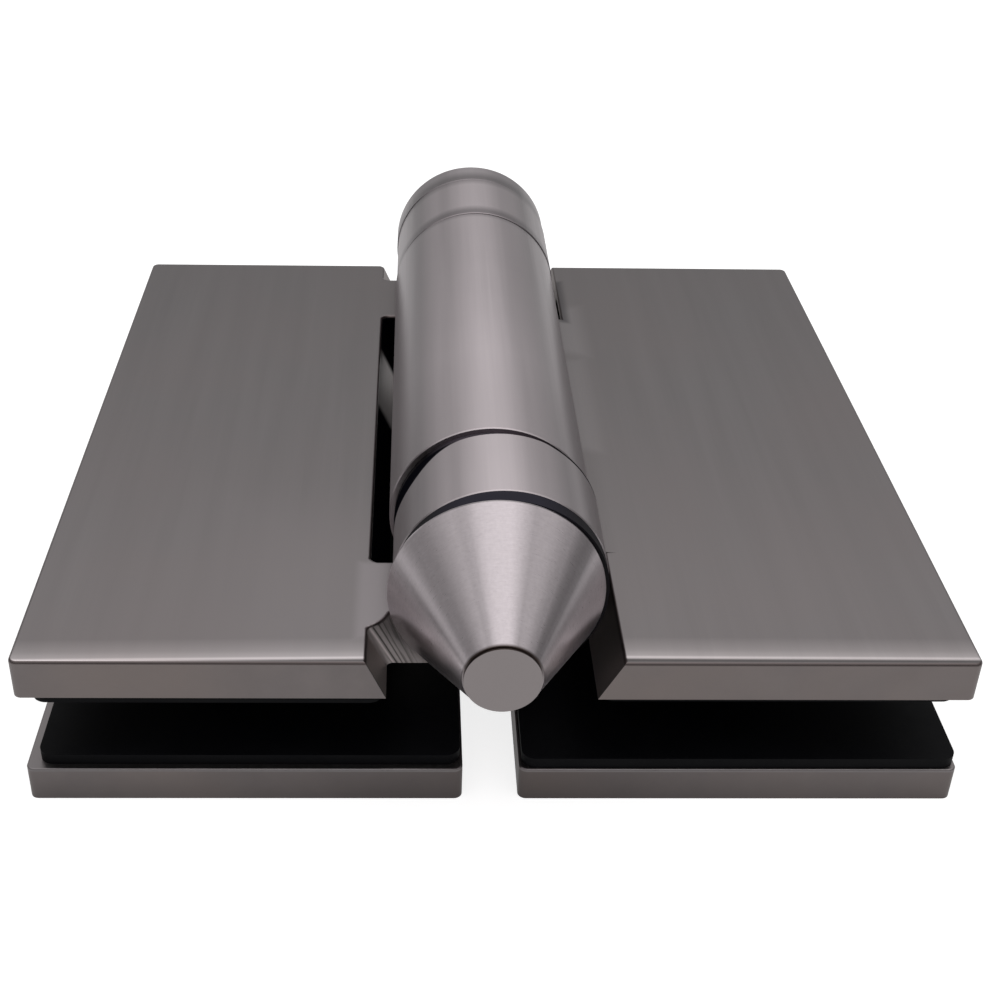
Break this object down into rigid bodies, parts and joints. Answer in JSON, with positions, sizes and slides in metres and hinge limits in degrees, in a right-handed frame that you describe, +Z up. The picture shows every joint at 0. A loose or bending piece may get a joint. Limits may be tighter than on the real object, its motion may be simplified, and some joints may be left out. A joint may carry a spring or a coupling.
{
  "type": "glass-to-glass gate hinge",
  "caption": "Self-closing hinge for a glass pool gate: clamping leaves with rubber sheets, and a long knuckle barrel with a conical end and a spring inside.",
  "frame": {"origin": "middle of the footprint, on the plane that both back plates rest on", "axes": "+Y along the barrel from the cone to the cap, +X towards the swinging leaf, +Z up from the back plates to the barrel"},
  "size_m": [0.1322, 0.1454, 0.0464],
  "materials": {
    "plate_steel": "fine brushed, lengthwise",
    "barrel_steel": "fine brushed, lengthwise",
    "turned_steel": "turned, with fine rings",
    "inner_steel": "plain machined",
    "screw_steel": "plain",
    "spring_steel": "drawn wire",
    "gasket_rubber": "matt",
    "seal_rubber": "soft sheen",
    "bush_acetal": "smooth",
    "spacer_nylon": "smooth"
  },
  "bodies": {
    "fixed_leaf": {"left_front_plate": "plate_steel", "left_back_plate": "plate_steel", "left_front_gasket": "gasket_rubber", "left_back_gasket": "gasket_rubber", "left_spacer_bushes": "spacer_nylon", "left_clamp_screws": "screw_steel", "near_knuckle": "barrel_steel", "far_knuckle": "barrel_steel", "end_cone": "turned_steel", "cone_seal": "seal_rubber", "pivot_pin": "inner_steel", "tension_adjuster": "inner_steel", "knuckle_lock_screws": "screw_steel", "far_cap": "turned_steel", "torsion_spring": "spring_steel"},
    "swing_leaf": {"right_front_plate": "plate_steel", "right_back_plate": "plate_steel", "right_front_gasket": "gasket_rubber", "right_back_gasket": "gasket_rubber", "right_spacer_bushes": "spacer_nylon", "right_clamp_screws": "screw_steel", "barrel_tube": "barrel_steel", "near_bush": "bush_acetal", "far_bush": "bush_acetal", "spring_anchor": "inner_steel", "anchor_pin": "inner_steel"}
  },
  "joints": [
    {"name": "leaf_swing", "type": "hinge", "parent": "fixed_leaf", "child": "swing_leaf", "pos_m": [-0.0003, 0, 0.0315], "axis": [0, -1, 0], "range_deg": [0, 90], "stiffness_Nm_per_rad": 4, "springref_deg": -5.73, "deforming": ["torsion_spring"]}
  ]
}
